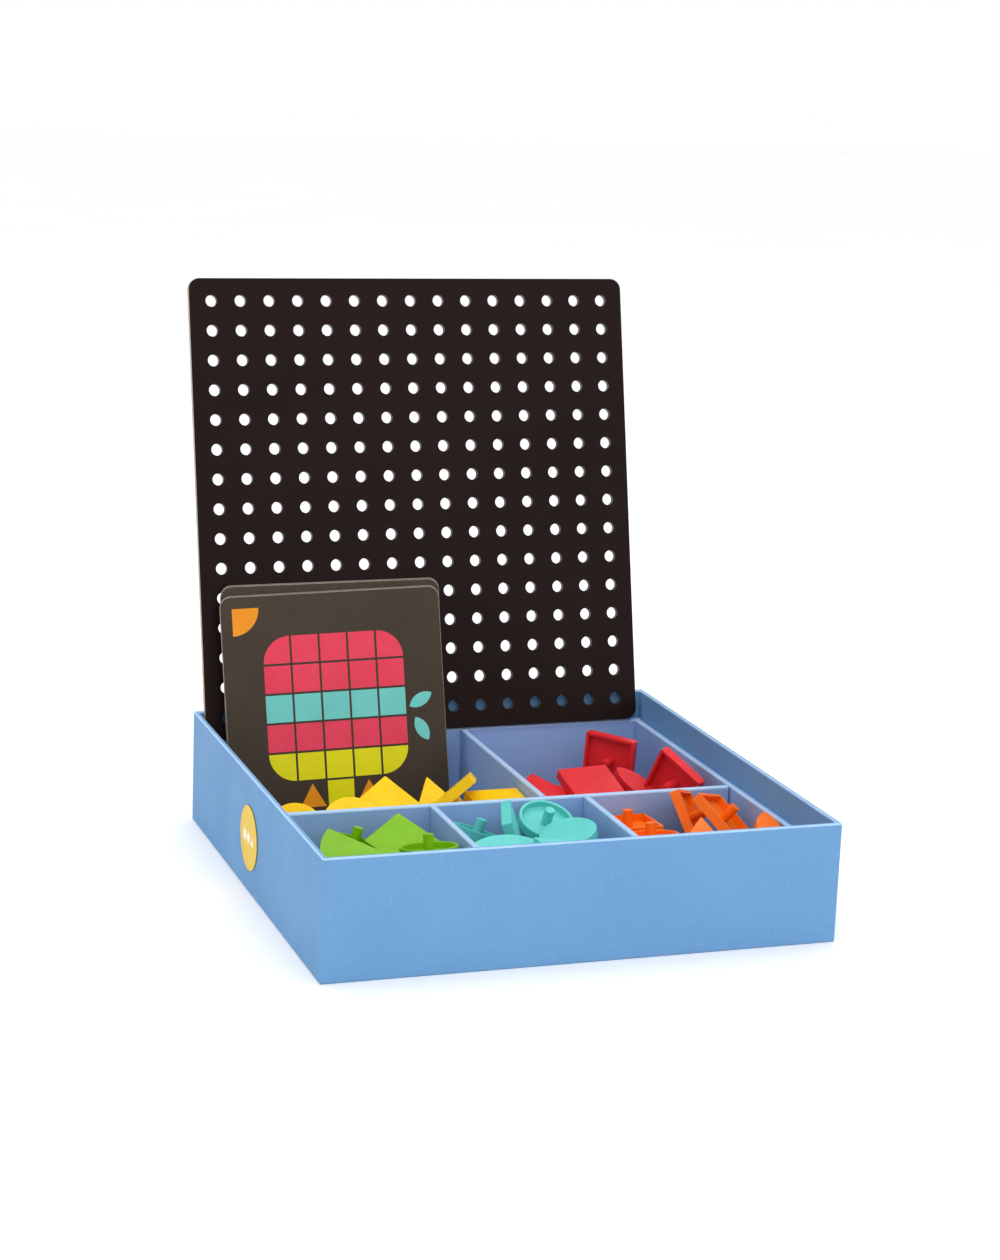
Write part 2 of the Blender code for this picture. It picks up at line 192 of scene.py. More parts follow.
def linear(colour: str) -> tuple[float, float, float, float]:
    """Turn an sRGB hex colour into linear values.

    Args:
        colour: Six hex digits with a leading #.

    Returns:
        Linear red, green and blue, and an alpha of 1.
    """
    parts = [int(colour[start : start + 2], 16) / 255 for start in (1, 3, 5)]
    shades = [part / 12.92 if part <= 0.04045 else ((part + 0.055) / 1.055) ** 2.4 for part in parts]
    return (shades[0], shades[1], shades[2], 1.0)


def add_node(
    tree: NodeTree, kind: str, sockets: Optional[dict[Any, Any]] = None, **settings: Any
) -> bpy.types.Node:
    """Add a node with its settings, socket values and links.

    Args:
        tree: The node tree that gets the node.
        kind: The node's Blender type name.
        sockets: Input name or index to a value, or to an output socket to link from.
        settings: The node's own properties.

    Returns:
        The new node.
    """
    made = tree.nodes.new(kind)
    for name, value in settings.items():
        setattr(made, name, value)
    for name, value in (sockets or {}).items():
        if isinstance(value, NodeSocket):
            tree.links.new(value, made.inputs[name])
        else:
            made.inputs[name].default_value = value
    return made


def mixed(tree: NodeTree, share: NodeSocket, low: Any, high: Any) -> NodeSocket:
    """Mix two colours, each a value or a socket, and return the mix's socket."""
    # A Mix node of colours has its two colours at inputs 6 and 7 and its result at output 2.
    sockets = {"Factor": share, 6: low, 7: high}
    return add_node(tree, "ShaderNodeMix", sockets, data_type="RGBA").outputs[2]


def per_metre(size_mm: float) -> float:
    """Return the texture scale whose features are the given size in millimetres."""
    return 1000.0 / size_mm


# ---------------------------------------------------------------- finishes


@dataclass(frozen=True)
class Finish:
    """A surface with mottled colour, a fine grain and a bump, all at real sizes.

    Args:
        name: What the real material is called.
        colour: Main colour as sRGB hex.
        shade: Second colour, which the mottling and grain bring in.
        mottle_mm: Size of the soft colour clouds.
        mottle_share: How much of the second colour the clouds bring in.
        grain_mm: Size of the fine grain.
        grain_share: How much of the second colour the grain brings in.
        bump_mm: Height of the grain's bump.
        roughness: Middle of the roughness range.
        roughness_spread: How far the clouds move the roughness either way.
        ior: Index of refraction.
        gloss: Strength of the mirror-like part of the reflection, where 0.5 is a bare surface's.
        coat: Weight of a clear varnish over the colour.
        coat_roughness: Roughness of that varnish.
        scatter: Weight of the light that spreads under the surface.
        scatter_mm: How far that light spreads.
    """

    name: str
    colour: str
    shade: str
    mottle_mm: float = 30.0
    mottle_share: float = 0.5
    grain_mm: float = 1.6
    grain_share: float = 0.3
    bump_mm: float = 0.02
    roughness: float = 0.4
    roughness_spread: float = 0.05
    ior: float = 1.5
    gloss: float = 0.25
    coat: float = 0.0
    coat_roughness: float = 0.2
    scatter: float = 0.0
    scatter_mm: float = 1.0

    def material(self) -> bpy.types.Material:
        """Return the finish as a material, made on first use."""
        if self.name in bpy.data.materials:
            return bpy.data.materials[self.name]
        made = bpy.data.materials.new(self.name)
        made.use_nodes = True
        tree = made.node_tree
        shader = tree.nodes["Principled BSDF"]
        self.set_values(shader)
        place = add_node(tree, "ShaderNodeTexCoord").outputs["Object"]
        clouds = self.noise(tree, place, self.mottle_mm, CLOUD_DETAIL)
        grain = self.noise(tree, place, self.grain_mm, GRAIN_DETAIL)
        colour = self.coloured(tree, place, clouds, grain)
        tree.links.new(colour, shader.inputs["Base Color"])
        spread = {
            "Value": clouds,
            "From Min": ROUGHNESS_RANGE[0],
            "From Max": ROUGHNESS_RANGE[1],
            "To Min": self.roughness - self.roughness_spread,
            "To Max": self.roughness + self.roughness_spread,
        }
        rough = add_node(tree, "ShaderNodeMapRange", spread)
        tree.links.new(rough.outputs["Result"], shader.inputs["Roughness"])
        relief = {"Height": grain, "Distance": self.bump_mm * MM, "Strength": 1.0}
        bump = add_node(tree, "ShaderNodeBump", relief)
        tree.links.new(bump.outputs["Normal"], shader.inputs["Normal"])
        return made

    def set_values(self, shader: bpy.types.Node) -> None:
        """Set what is the same all over the surface on the shader itself."""
        shader.inputs["IOR"].default_value = self.ior
        shader.inputs["Specular IOR Level"].default_value = self.gloss
        shader.inputs["Coat Weight"].default_value = self.coat
        shader.inputs["Coat Roughness"].default_value = self.coat_roughness
        shader.inputs["Subsurface Weight"].default_value = self.scatter
        shader.inputs["Subsurface Scale"].default_value = self.scatter_mm * MM
        shader.inputs["Subsurface Radius"].default_value = (1.0, 0.6, 0.4)

    @staticmethod
    def noise(tree: NodeTree, place: NodeSocket, size_mm: float, detail: float) -> NodeSocket:
        """Return a noise's output at a size in millimetres."""
        scale = {"Vector": place, "Scale": per_metre(size_mm)}
        layers = {"Detail": detail, "Roughness": DETAIL_STRENGTH}
        return add_node(tree, "ShaderNodeTexNoise", scale | layers).outputs["Fac"]

    @staticmethod
    def blended(tree: NodeTree, share: NodeSocket, low: Any, high: Any, most: float) -> NodeSocket:
        """Blend two colours by a noise, stretched to its useful middle.

        Args:
            tree: The material's node tree.
            share: The noise that says where the second colour comes in.
            low: First colour, as a value or a socket.
            high: Second colour, as a value or a socket.
            most: The second colour's largest share.

        Returns:
            The blended colour's socket.
        """
        ends = {"From Min": COLOUR_RANGE[0], "From Max": COLOUR_RANGE[1], "To Min": 0.0, "To Max": most}
        stretched = add_node(tree, "ShaderNodeMapRange", {"Value": share} | ends)
        return mixed(tree, stretched.outputs["Result"], low, high)

    def coloured(
        self, tree: NodeTree, place: NodeSocket, clouds: NodeSocket, grain: NodeSocket
    ) -> NodeSocket:
        """Return the surface colour: the main colour with clouds and grain of the second."""
        base = self.blended(tree, clouds, linear(self.colour), linear(self.shade), self.mottle_share)
        return self.blended(tree, grain, base, linear(self.shade), self.grain_share)


@dataclass(frozen=True)
class FibreFinish(Finish):
    """A paper or board whose fibres lie in all directions, as fine crossing streaks.

    Args:
        fibre_mm: Width of a streak.
        fibre_length_mm: Length of a streak.
        fibre_colour: Colour of the fibres that show, as sRGB hex.
        fibre_share: How strongly they show.
    """

    fibre_mm: float = 0.5
    fibre_length_mm: float = 6.0
    fibre_colour: str = "#FFFFFF"
    fibre_share: float = 0.2

    def streaks(self, tree: NodeTree, place: NodeSocket) -> NodeSocket:
        """Return the largest of three noises, each stretched along another axis, at its peaks."""
        long, short = per_metre(self.fibre_length_mm), per_metre(self.fibre_mm)
        strongest = None
        for scale in ((long, short, short), (short, long, short), (short, short, long)):
            mapped = add_node(tree, "ShaderNodeMapping", {"Vector": place, "Scale": scale})
            sockets = {"Vector": mapped.outputs["Vector"], "Scale": 1.0, "Detail": 1.0}
            noise = add_node(tree, "ShaderNodeTexNoise", sockets).outputs["Fac"]
            if strongest is None:
                strongest = noise
            else:
                pair = {0: strongest, 1: noise}
                strongest = add_node(tree, "ShaderNodeMath", pair, operation="MAXIMUM").outputs["Value"]
        ends = {"Value": strongest, "From Min": FIBRE_RANGE[0], "From Max": FIBRE_RANGE[1]}
        return add_node(tree, "ShaderNodeMapRange", ends).outputs["Result"]

    def coloured(
        self, tree: NodeTree, place: NodeSocket, clouds: NodeSocket, grain: NodeSocket
    ) -> NodeSocket:
        """Return the mottled colour with the fibres over it."""
        base = super().coloured(tree, place, clouds, grain)
        share = {"Value": self.streaks(tree, place), "To Max": self.fibre_share}
        weight = add_node(tree, "ShaderNodeMapRange", share).outputs["Result"]
        return mixed(tree, weight, base, linear(self.fibre_colour))


# Offset-printed art paper with a matt film, glued over greyboard: even colour, soft sheen, faint
# fibres that press through the film. Real fibres are 0.1 mm wide and are drawn wider to show.
WRAP_PAPER = FibreFinish(
    name="film_laminated_wrap_paper",
    colour="#6C9AC6",
    shade="#6593C0",
    mottle_mm=45.0,
    mottle_share=0.6,
    grain_mm=1.4,
    grain_share=0.25,
    bump_mm=0.025,
    roughness=0.5,
    roughness_spread=0.04,
    ior=1.48,
    gloss=0.06,
    fibre_mm=0.55,
    fibre_length_mm=5.0,
    fibre_colour="#82ACD6",
    fibre_share=0.3,
)

# The same paper, paler, on the box's top edges: a painted highlight that stands in for the light from
# above.
WRAP_EDGE_PAINTED_HIGHLIGHT = FibreFinish(
    name="wrap_paper_painted_highlight",
    colour="#A9CBEF",
    shade="#92BAE6",
    mottle_mm=9.0,
    mottle_share=0.7,
    grain_mm=1.0,
    grain_share=0.4,
    bump_mm=0.03,
    roughness=0.4,
    ior=1.48,
    fibre_mm=0.5,
    fibre_length_mm=4.0,
    fibre_colour="#CFE3FA",
    fibre_share=0.35,
)

# The insert's folds: the same print, paler along the tops of the rims and dividers. This is a painted
# highlight that stands in for the light from above.
INSERT_FOLD_PAINTED_HIGHLIGHT = FibreFinish(
    name="boxboard_fold_painted_highlight",
    colour="#B9D5F3",
    shade="#A3C4EA",
    mottle_mm=7.0,
    mottle_share=0.7,
    grain_mm=1.0,
    grain_share=0.4,
    bump_mm=0.03,
    roughness=0.5,
    ior=1.48,
    fibre_mm=0.5,
    fibre_length_mm=5.0,
    fibre_colour="#D9E8FA",
    fibre_share=0.4,
)

# Printed folding boxboard of the insert: matt, with fibres along the folds. It is a little paler than the
# box: painted light that stands in for the brighter light inside the compartments.
INSERT_CARD_PAINTED_LIGHT = FibreFinish(
    name="folding_boxboard_painted_light",
    colour="#92B2E2",
    shade="#88A8DA",
    mottle_mm=35.0,
    mottle_share=0.6,
    grain_mm=1.3,
    grain_share=0.3,
    bump_mm=0.03,
    roughness=0.5,
    roughness_spread=0.04,
    ior=1.48,
    fibre_mm=0.5,
    fibre_length_mm=7.0,
    fibre_colour="#A4C0EA",
    fibre_share=0.3,
)

# Acrylic enamel rolled on fibreboard: dark brown, satin, with the roller's stipple.
BOARD_PAINT = Finish(
    name="rolled_acrylic_enamel",
    colour="#1D0F0C",
    shade="#170B09",
    mottle_mm=60.0,
    mottle_share=0.8,
    grain_mm=1.5,
    grain_share=0.3,
    bump_mm=0.035,
    roughness=0.42,
    roughness_spread=0.04,
    gloss=0.1,
)

# Sawn and drilled medium-density fibreboard: pale brown, matt, short dark and light fibres.
RAW_FIBREBOARD = FibreFinish(
    name="raw_fibreboard",
    colour="#BFB4A8",
    shade="#A09080",
    mottle_mm=6.0,
    mottle_share=0.6,
    grain_mm=0.8,
    grain_share=0.6,
    bump_mm=0.08,
    roughness=0.8,
    roughness_spread=0.06,
    ior=1.45,
    fibre_mm=0.4,
    fibre_length_mm=2.5,
    fibre_colour="#DACFC2",
    fibre_share=0.6,
)

# The same board inside its drilled holes, darker: grey-brown, half matt.
HOLE_WALL_GREY = FibreFinish(
    name="grey_hole_wall_fibreboard",
    colour="#6A625C",
    shade="#4A433E",
    mottle_mm=4.0,
    mottle_share=0.7,
    grain_mm=0.8,
    grain_share=0.5,
    bump_mm=0.06,
    roughness=0.6,
    roughness_spread=0.06,
    ior=1.45,
    fibre_mm=0.4,
    fibre_length_mm=2.5,
    fibre_colour="#8A827B",
    fibre_share=0.5,
)

# Solid board printed dark brown and varnished: satin, with the print's fine speckle.
CARD_PRINT = FibreFinish(
    name="varnished_printed_board",
    colour="#41362A",
    shade="#382E23",
    mottle_mm=40.0,
    mottle_share=0.6,
    grain_mm=1.1,
    grain_share=0.5,
    bump_mm=0.015,
    roughness=0.38,
    roughness_spread=0.03,
    gloss=0.2,
    coat=0.04,
    coat_roughness=0.25,
    fibre_mm=0.45,
    fibre_length_mm=3.0,
    fibre_colour="#5A4B40",
    fibre_share=0.35,
)

# The cut edge of that board: grey-brown pulp, matt.
CARD_CORE = FibreFinish(
    name="cut_board_edge",
    colour="#9A9087",
    shade="#756B62",
    mottle_mm=5.0,
    mottle_share=0.7,
    grain_mm=0.6,
    grain_share=0.6,
    bump_mm=0.05,
    roughness=0.75,
    fibre_mm=0.4,
    fibre_length_mm=8.0,
    fibre_colour="#BDB4AA",
    fibre_share=0.5,
)


def ink(name: str, colour: str, shade: str) -> Finish:
    """Return a varnished offset ink: flat colour with the press's slight mottle and speckle."""
    return Finish(
        name=name,
        colour=colour,
        shade=shade,
        mottle_mm=14.0,
        mottle_share=0.6,
        grain_mm=0.9,
        grain_share=0.4,
        bump_mm=0.012,
        roughness=0.38,
        roughness_spread=0.03,
        gloss=0.2,
        coat=0.04,
        coat_roughness=0.25,
    )


INKS = {
    "R": ink("red_offset_ink", "#E8435C", "#DB3850"),
    "Y": ink("yellow_offset_ink", "#E6DE14", "#DAD000"),
    "O": ink("orange_offset_ink", "#EA931C", "#DE8712"),
    "T": ink("teal_offset_ink", "#74CDC6", "#66C2BA"),
}

# Self-adhesive gloss paper, printed yellow, and the white of the paper left unprinted.
STICKER_PAPER = ink("yellow_label_paper", "#E9C008", "#DFB404")
STICKER_WHITE = ink("white_label_paper", "#F6F4EC", "#EAE7DC")


def moulded_plastic(name: str, colour: str, shade: str) -> Finish:
    """Return injection-moulded polypropylene: satin, slightly milky, with a faint flow mottle."""
    return Finish(
        name=name,
        colour=colour,
        shade=shade,
        mottle_mm=12.0,
        mottle_share=0.7,
        grain_mm=0.9,
        grain_share=0.25,
        roughness=0.36,
        roughness_spread=0.06,
        ior=1.49,
        gloss=0.22,
        scatter=0.12,
        scatter_mm=1.5,
    )


PLASTICS = {
    "green": moulded_plastic("green_polypropylene", "#7DB80A", "#70AA06"),
    "turquoise": moulded_plastic("turquoise_polypropylene", "#68CEC8", "#5AC2BC"),
    "orange": moulded_plastic("orange_polypropylene", "#FA7512", "#EE6606"),
    "yellow": moulded_plastic("yellow_polypropylene", "#FFCE00", "#F6C000"),
    "red": moulded_plastic("red_polypropylene", "#E63238", "#D6262C"),
}

# Painted studio table: white, matt, almost even.
TABLE_TOP = Finish(
    name="white_studio_table",
    colour="#FFFFFF",
    shade="#FBFBFB",
    mottle_mm=300.0,
    grain_mm=3.0,
    grain_share=0.1,
    bump_mm=0.01,
    roughness=0.7,
)


# ---------------------------------------------------------------- shape helpers


def hand_over(
    shape: BMesh,
    name: str,
    finishes: Sequence[Finish],
    body: str,
    nodes: Iterable[str],
    sharp_deg: float = 35.0,
) -> bpy.types.Object:
    """Turn a bmesh into a finished piece of the model.

    Args:
        shape: The piece's shape, already in its place; it is freed.
        name: The piece's name.
        finishes: One finish per material index in the shape.
        body: The body that the piece moves with.
        nodes: The CAD nodes that the piece stands for.
        sharp_deg: Edges sharper than this stay sharp in the shading.

    Returns:
        The piece's object.
    """
    bmesh.ops.recalc_face_normals(shape, faces=shape.faces)
    # A hollow tile can come out of that inside out, and is turned back.
    if shape.calc_volume(signed=True) < 0:
        bmesh.ops.reverse_faces(shape, faces=shape.faces)
    mesh = bpy.data.meshes.new(name)
    shape.to_mesh(mesh)
    shape.free()
    mesh.shade_smooth()
    mesh.set_sharp_from_angle(angle=math.radians(sharp_deg))
    for finish in finishes:
        mesh.materials.append(finish.material())
    made = bpy.data.objects.new(name, mesh)
    bpy.context.scene.collection.objects.link(made)
    flatten = made.modifiers.new("even_shading", "WEIGHTED_NORMAL")
    flatten.keep_sharp = True
    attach(made, body)
    for node in nodes:
        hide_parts(node)
    LOG.info("%s: %d faces on body %s", name, len(mesh.polygons), body)
    return made


def bevel(shape: BMesh, edges: Iterable[BMEdge], width: float, segments: int) -> list[BMFace]:
    """Round edges off and return the new faces."""
    made = bmesh.ops.bevel(
        shape,
        geom=list(edges),
        offset=width,
        segments=segments,
        profile=0.5,
        affect="EDGES",
        clamp_overlap=True,
        material=-1,
    )
    return made["faces"]


def round_corners(shape: BMesh, corners: Iterable[BMVert], radius: float, segments: int) -> None:
    """Round the corners of a flat face off."""
    bmesh.ops.bevel(
        shape,
        geom=list(corners),
        offset=radius,
        segments=segments,
        profile=0.5,
        affect="VERTICES",
        material=-1,
    )


def thicken(shape: BMesh, height: float) -> None:
    """Pull a copy of a flat shape's faces along Z and wall the gap, so that it closes."""
    grown = bmesh.ops.extrude_face_region(shape, geom=list(shape.faces), use_keep_orig=True)
    moved = [item for item in grown["geom"] if isinstance(item, BMVert)]
    bmesh.ops.translate(shape, vec=(0, 0, height), verts=moved)


def add_ring(shape: BMesh, radius: float, segments: int, centre: Vector) -> list[BMEdge]:
    """Add a level circle and return its edges."""
    place = Matrix.Translation(centre)
    ring = bmesh.ops.create_circle(shape, cap_ends=False, segments=segments, radius=radius, matrix=place)
    return list({edge for vert in ring["verts"] for edge in vert.link_edges})


def add_part(shape: BMesh, part: BMesh) -> None:
    """Add a separate part to a shape; the part is freed."""
    mesh = bpy.data.meshes.new("part")
    part.to_mesh(mesh)
    part.free()
    shape.from_mesh(mesh)
    bpy.data.meshes.remove(mesh)


def sharp_edges(shape: BMesh, degrees: float = EDGE_DEG) -> list[BMEdge]:
    """Return the edges whose faces meet at more than an angle."""
    limit = math.radians(degrees)
    return [edge for edge in shape.edges if len(edge.link_faces) == 2 and edge.calc_face_angle() > limit]


def box_shape(low: Vector, high: Vector) -> BMesh:
    """Return a plain box between two corners."""
    shape = bmesh.new()
    bmesh.ops.create_cube(shape, size=1.0)
    bmesh.ops.scale(shape, vec=high - low, verts=shape.verts)
    bmesh.ops.translate(shape, vec=(low + high) / 2, verts=shape.verts)
    return shape


def loops_of(shape: BMesh, face: BMFace) -> list[BMEdge]:
    """Remove a face and return the edges that bounded it."""
    edges = list(face.edges)
    bmesh.ops.delete(shape, geom=[face], context="FACES_ONLY")
    return edges


@dataclass(frozen=True)
class Outline:
    """The flat outlines of tiles and printed cells, sized by the side of a square.

    Args:
        side: Side of the square, and radius of the quarter circle.
        leaf_width: Width of the leaf as a share of the side.
        quarter_axis: Distance of a quarter's peg from its straight sides, as a share of the side.
        segments: How many straight pieces a full circle has.
        corner: Radius of the rounded corners, in metres.
        corner_segments: How many straight pieces a corner has.
    """

    side: float
    leaf_width: float = 0.48
    quarter_axis: float = 0.42
    segments: int = 48
    corner: float = 0.0
    corner_segments: int = 3

    def face(self, kind: Shape) -> BMesh:
        """Return one flat face, looking up, with the tile's peg axis at the origin.

        Args:
            kind: Which outline to make.

        Returns:
            A bmesh with one face at z = 0.
        """
        shape = bmesh.new()
        if kind is Shape.DISC:
            self.polygon(shape, self.segments, self.side / 2, 0.0)
        elif kind is Shape.SQUARE:
            self.polygon(shape, 4, self.side / math.sqrt(2), 45.0)
        elif kind is Shape.TRIANGLE:
            self.polygon(shape, 3, self.side / math.sqrt(3), 90.0)
        elif kind is Shape.QUARTER:
            self.quarter(shape)
        else:
            self.leaf(shape)
        if self.corner and kind is not Shape.DISC:
            corners = [vert for vert in shape.verts if self.turns(vert)]
            round_corners(shape, corners, self.corner, self.corner_segments)
        bmesh.ops.recalc_face_normals(shape, faces=shape.faces)
        if shape.faces[:][0].normal.z < 0:
            bmesh.ops.reverse_faces(shape, faces=shape.faces)
        return shape

    @staticmethod
    def polygon(shape: BMesh, count: int, radius: float, turn_deg: float) -> None:
        """Add a regular polygon whose first corner is at an angle."""
        place = Matrix.Rotation(math.radians(turn_deg - 90), 4, "Z")
        bmesh.ops.create_circle(shape, cap_ends=True, segments=count, radius=radius, matrix=place)

    def quarter(self, shape: BMesh) -> None:
        """Add a quarter circle whose corner is at the lower left."""
        reach = self.quarter_axis * self.side
        corner = shape.verts.new((-reach, -reach, 0))
        start = shape.verts.new((self.side - reach, -reach, 0))
        bmesh.ops.spin(
            shape,
            geom=[start],
            cent=corner.co,
            axis=(0, 0, 1),
            angle=math.pi / 2,
            steps=max(self.segments // 4, 3),
            use_duplicate=False,
        )
        ends = [vert for vert in shape.verts if len(vert.link_edges) == 1]
        for end in ends:
            shape.edges.new((corner, end))
        bmesh.ops.contextual_create(shape, geom=list(shape.edges))

    def leaf(self, shape: BMesh) -> None:
        """Add a pointed leaf between two arcs, along Y."""
        half, width = self.side / 2, self.side * self.leaf_width
        radius = (half**2 + (width / 2) ** 2) / width
        sweep = math.asin(half / radius)
        centre = Vector((width / 2 - radius, 0, 0))
        for side in (1, -1):
            start = shape.verts.new((0, -half * side, 0))
            bmesh.ops.spin(
                shape,
                geom=[start],
                cent=centre * side,
                axis=(0, 0, 1),
                angle=2 * sweep,
                steps=max(self.segments // 5, 4),
                use_duplicate=False,
            )
        bmesh.ops.remove_doubles(shape, verts=shape.verts, dist=2 * WELD)
        bmesh.ops.contextual_create(shape, geom=list(shape.edges))

    @staticmethod
    def turns(vert: BMVert, least_deg: float = 30.0) -> bool:
        """Return whether the outline turns by more than an angle at a corner."""
        first, second = (edge.other_vert(vert).co - vert.co for edge in vert.link_edges[:2])
        return math.pi - first.angle(second) > math.radians(least_deg)


def largest_plane(node: str) -> tuple[Vector, float]:
    """Return the outward normal of a CAD node's largest flat side and its distance from the origin."""
    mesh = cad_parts[node].data
    # Faces are gathered by normal, to 1 part in 200, and by offset, to 0.2 mm.
    sides: dict[tuple[int, ...], list[Any]] = {}
    for face in mesh.polygons:
        normal = face.normal.copy()
        offset = normal.dot(mesh.vertices[face.vertices[0]].co)
        key = (*(round(part * 200) for part in normal), round(offset / (0.2 * MM)))
        side = sides.setdefault(key, [0.0, Vector((0, 0, 0)), 0.0])
        side[0] += face.area
        side[1] += normal * face.area
        side[2] += offset * face.area
    area, normal, offset = max(sides.values(), key=lambda side: side[0])
    return normal.normalized(), offset / area


# ---------------------------------------------------------------- box and insert


@dataclass
class Tray:
    """The open box: four walls and a base of greyboard, wrapped in one printed paper.

    Args:
        wall: Thickness of a wrapped wall.
        base: Thickness of the base.
        edge: Radius of the wrapped edges.
    """

    wall: float = 2.5 * MM
    base: float = 2.2 * MM
    edge: float = 0.85 * MM

    def build(self) -> None:
        """Build the wrapped shell, with a paler paper as a painted highlight on the top edges alone."""
        nodes = ["box_base", "box_front_wall", "box_back_wall", "box_left_wall", "box_right_wall"]
        lows, highs = zip(*(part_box(node) for node in nodes))
        low = Vector(min(corner[axis] for corner in lows) for axis in range(3))
        high = Vector(max(corner[axis] for corner in highs) for axis in range(3))
        shape = box_shape(low, high)
        top = max(shape.faces, key=lambda face: face.calc_center_median().z)
        bmesh.ops.inset_region(shape, faces=[top], thickness=self.wall, use_even_offset=True)
        pushed = bmesh.ops.extrude_discrete_faces(shape, faces=[top])["faces"]
        drop = Vector((0, 0, self.base + low.z - high.z))
        bmesh.ops.translate(shape, vec=drop, verts=pushed[0].verts)
        bmesh.ops.remove_doubles(shape, verts=shape.verts, dist=WELD)
        # Faces along the top edges get the paler paper: a painted highlight.
        for face in bevel(shape, sharp_edges(shape), self.edge, 3):
            face.material_index = 1 if face.calc_center_median().z > high.z - self.edge else 0
        hand_over(shape, "tray_wrapped_shell", (WRAP_PAPER, WRAP_EDGE_PAINTED_HIGHLIGHT), "tray", nodes)


@dataclass
class Insert:
    """The card insert: folded rims and dividers that make five compartments.

    Args:
        fold: Radius of the folded top edges.
        fold_share: The largest radius of a fold, as a share of the strip's thickness.
        cut: Width of the soft edge where the card is cut.
        strips: The CAD nodes of the rims and dividers.
    """

    fold: float = 1.25 * MM
    fold_share: float = 0.45
    cut: float = 0.2 * MM
    strips: tuple[str, ...] = (
        "insert_left_rim",
        "insert_right_rim",
        "insert_front_rim",
        "insert_back_rim",
        "cross_divider",
        "long_divider",
        "short_divider_left",
        "short_divider_right",
    )

    def build(self) -> None:
        """Build each strip with its folded top."""
        for node in self.strips:
            low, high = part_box(node)
            shape = box_shape(low, high)
            along = 0 if high.x - low.x > high.y - low.y else 1
            ridge = [
                edge
                for edge in shape.edges
                if min(vert.co.z for vert in edge.verts) > high.z - self.cut
                and abs(edge.verts[0].co[along] - edge.verts[1].co[along]) > self.cut
            ]
            width = min(self.fold, (high[1 - along] - low[1 - along]) * self.fold_share)
            # The folded tops get the paler card: a painted highlight.
            for face in bevel(shape, ridge, width, 5):
                face.material_index = 1
            bevel(shape, sharp_edges(shape), self.cut, 2)
            finishes = (INSERT_CARD_PAINTED_LIGHT, INSERT_FOLD_PAINTED_HIGHLIGHT)
            hand_over(shape, f"{node}_folded", finishes, "tray", [node])


@dataclass
class Sticker:
    """The round label on the left wall, with a generic motif of three mosaic shapes.

    Args:
        motif: Side of a shape in the motif.
        step: Distance between the motif's shapes.
        relief: Thickness of the print.
        sunk: How deep the print's underside lies in the label.
        easing_share: Width of the label's soft edge, as a share of its thickness.
        segments: Straight pieces round the label.
    """

    motif: float = 5.2 * MM
    step: float = 7.2 * MM
    relief: float = 0.04 * MM
    sunk: float = 0.02 * MM
    easing_share: float = 0.35
    segments: int = 96

    def build(self) -> None:
        """Build the label and its motif."""
        low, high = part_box("side_sticker")
        middle = (low + high) / 2
        thick = high.x - low.x
        radius = (high.y - low.y) / 2
        shape = bmesh.new()
        bmesh.ops.create_cone(
            shape, cap_ends=True, segments=self.segments, radius1=radius, radius2=radius, depth=thick
        )
        bevel(shape, sharp_edges(shape), thick * self.easing_share, 2)
        outline = Outline(self.motif, segments=32, corner=0.3 * MM)
        for place, kind in enumerate((Shape.SQUARE, Shape.DISC, Shape.TRIANGLE)):
            at = Matrix.Translation(((place - 1) * self.step, 0, thick / 2 - self.sunk))
            add_print(shape, outline, kind, at, self.relief, 1)
        stand = Matrix(((0, 0, -1), (-1, 0, 0), (0, 1, 0))).to_4x4()
        bmesh.ops.transform(shape, matrix=Matrix.Translation(middle) @ stand, verts=shape.verts)
        finishes = (STICKER_PAPER, STICKER_WHITE)
        hand_over(shape, "side_label", finishes, "tray", ["side_sticker"])


def add_print(
    shape: BMesh,
    outline: Outline,
    kind: Shape,
    place: Matrix,
    height: float,
    index: int,
) -> None:
    """Add one printed shape as a very thin plate.

    Args:
        shape: The piece that the print is added to.
        outline: The outline's sizes.
        kind: Which outline to print.
        place: Where the plate's underside goes.
        height: The plate's thickness.
        index: The plate's material index.
    """
    plate = outline.face(kind)
    xs = [vert.co.x for vert in plate.verts]
    ys = [vert.co.y for vert in plate.verts]
    centre = Vector((min(xs) + max(xs), min(ys) + max(ys), 0)) / 2
    bmesh.ops.translate(plate, vec=-centre, verts=plate.verts)
    thicken(plate, height)
    bmesh.ops.transform(plate, matrix=place, verts=plate.verts)
    for face in plate.faces:
        face.material_index = index
    add_part(shape, plate)


# ---------------------------------------------------------------- pegboard and cards


